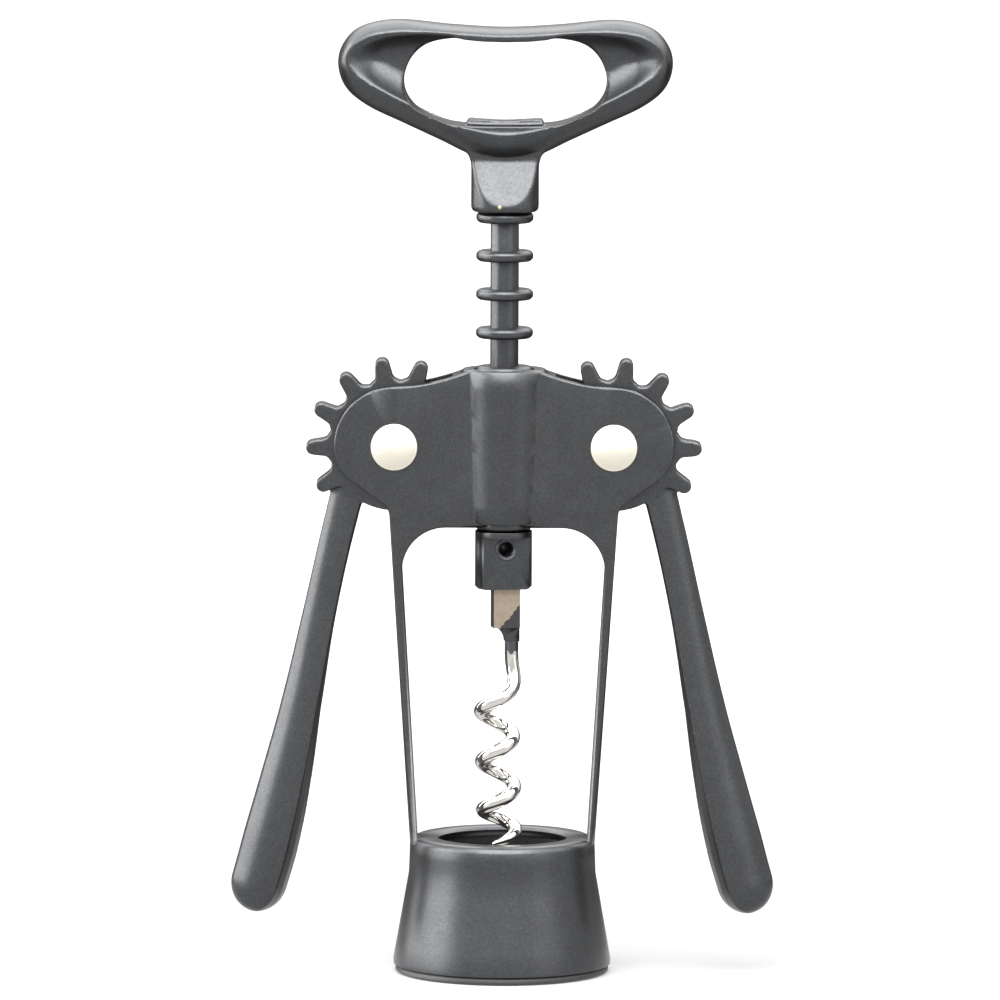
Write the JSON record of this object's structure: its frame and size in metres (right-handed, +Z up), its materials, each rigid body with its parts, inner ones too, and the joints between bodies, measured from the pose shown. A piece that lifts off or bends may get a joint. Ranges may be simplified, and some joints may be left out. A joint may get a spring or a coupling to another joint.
{
  "type": "wing corkscrew",
  "caption": "Wing corkscrew: bell frame, two toothed lever arms on rivets, ringed rack shaft, steel worm and a turning handle with a crown-cap opener loop.",
  "frame": {"origin": "centre of the bell's lower edge, on the surface that the corkscrew stands on", "axes": "+Z up along the worm, X from wing to wing, -Y to the front"},
  "size_m": [0.101, 0.0408, 0.1797],
  "materials": {
    "graphite_paint": "satin metallic paint over a zinc casting",
    "nickel_rivet": "bright domed rivet",
    "worm_chrome": "bright steel wire, its flat end bare and partly painted",
    "black_plastic": "moulded liner"
  },
  "bodies": {
    "frame": {"frame": "graphite_paint", "bell_liner": "black_plastic", "pivot_rivet_left": "nickel_rivet", "pivot_rivet_right": "nickel_rivet", "pivot_cap_left": "nickel_rivet", "pivot_cap_right": "nickel_rivet"},
    "rack": {"rack_sleeve": "graphite_paint"},
    "screw": {"handle": "graphite_paint", "handle_pin": "graphite_paint", "spindle": "graphite_paint", "worm": "worm_chrome", "worm_pin": "graphite_paint"},
    "left_wing": {"lever_left": "graphite_paint"},
    "right_wing": {"lever_right": "graphite_paint"}
  },
  "joints": [
    {"name": "rack_slide", "type": "slide", "parent": "frame", "child": "rack", "axis": [0, 0, 1], "range_m": [-0.029, 0.003]},
    {"name": "screw_spin", "type": "hinge", "parent": "rack", "child": "screw", "pos_m": [0, 0, 0.113], "axis": [0, 0, 1], "continuous": true},
    {"name": "left_wing_swing", "type": "hinge", "parent": "frame", "child": "left_wing", "pos_m": [-0.0206, 0, 0.09965], "axis": [0, 1, 0], "range_deg": [-11.77, 111.22]},
    {"name": "right_wing_swing", "type": "hinge", "parent": "frame", "child": "right_wing", "pos_m": [0.0206, 0, 0.09965], "axis": [0, 1, 0], "range_deg": [-111.22, 11.77]}
  ],
  "couplings": [
    {"joint": "left_wing_swing", "follows": "rack_slide", "rad_per_m": -66.757},
    {"joint": "right_wing_swing", "follows": "rack_slide", "rad_per_m": 66.757}
  ]
}
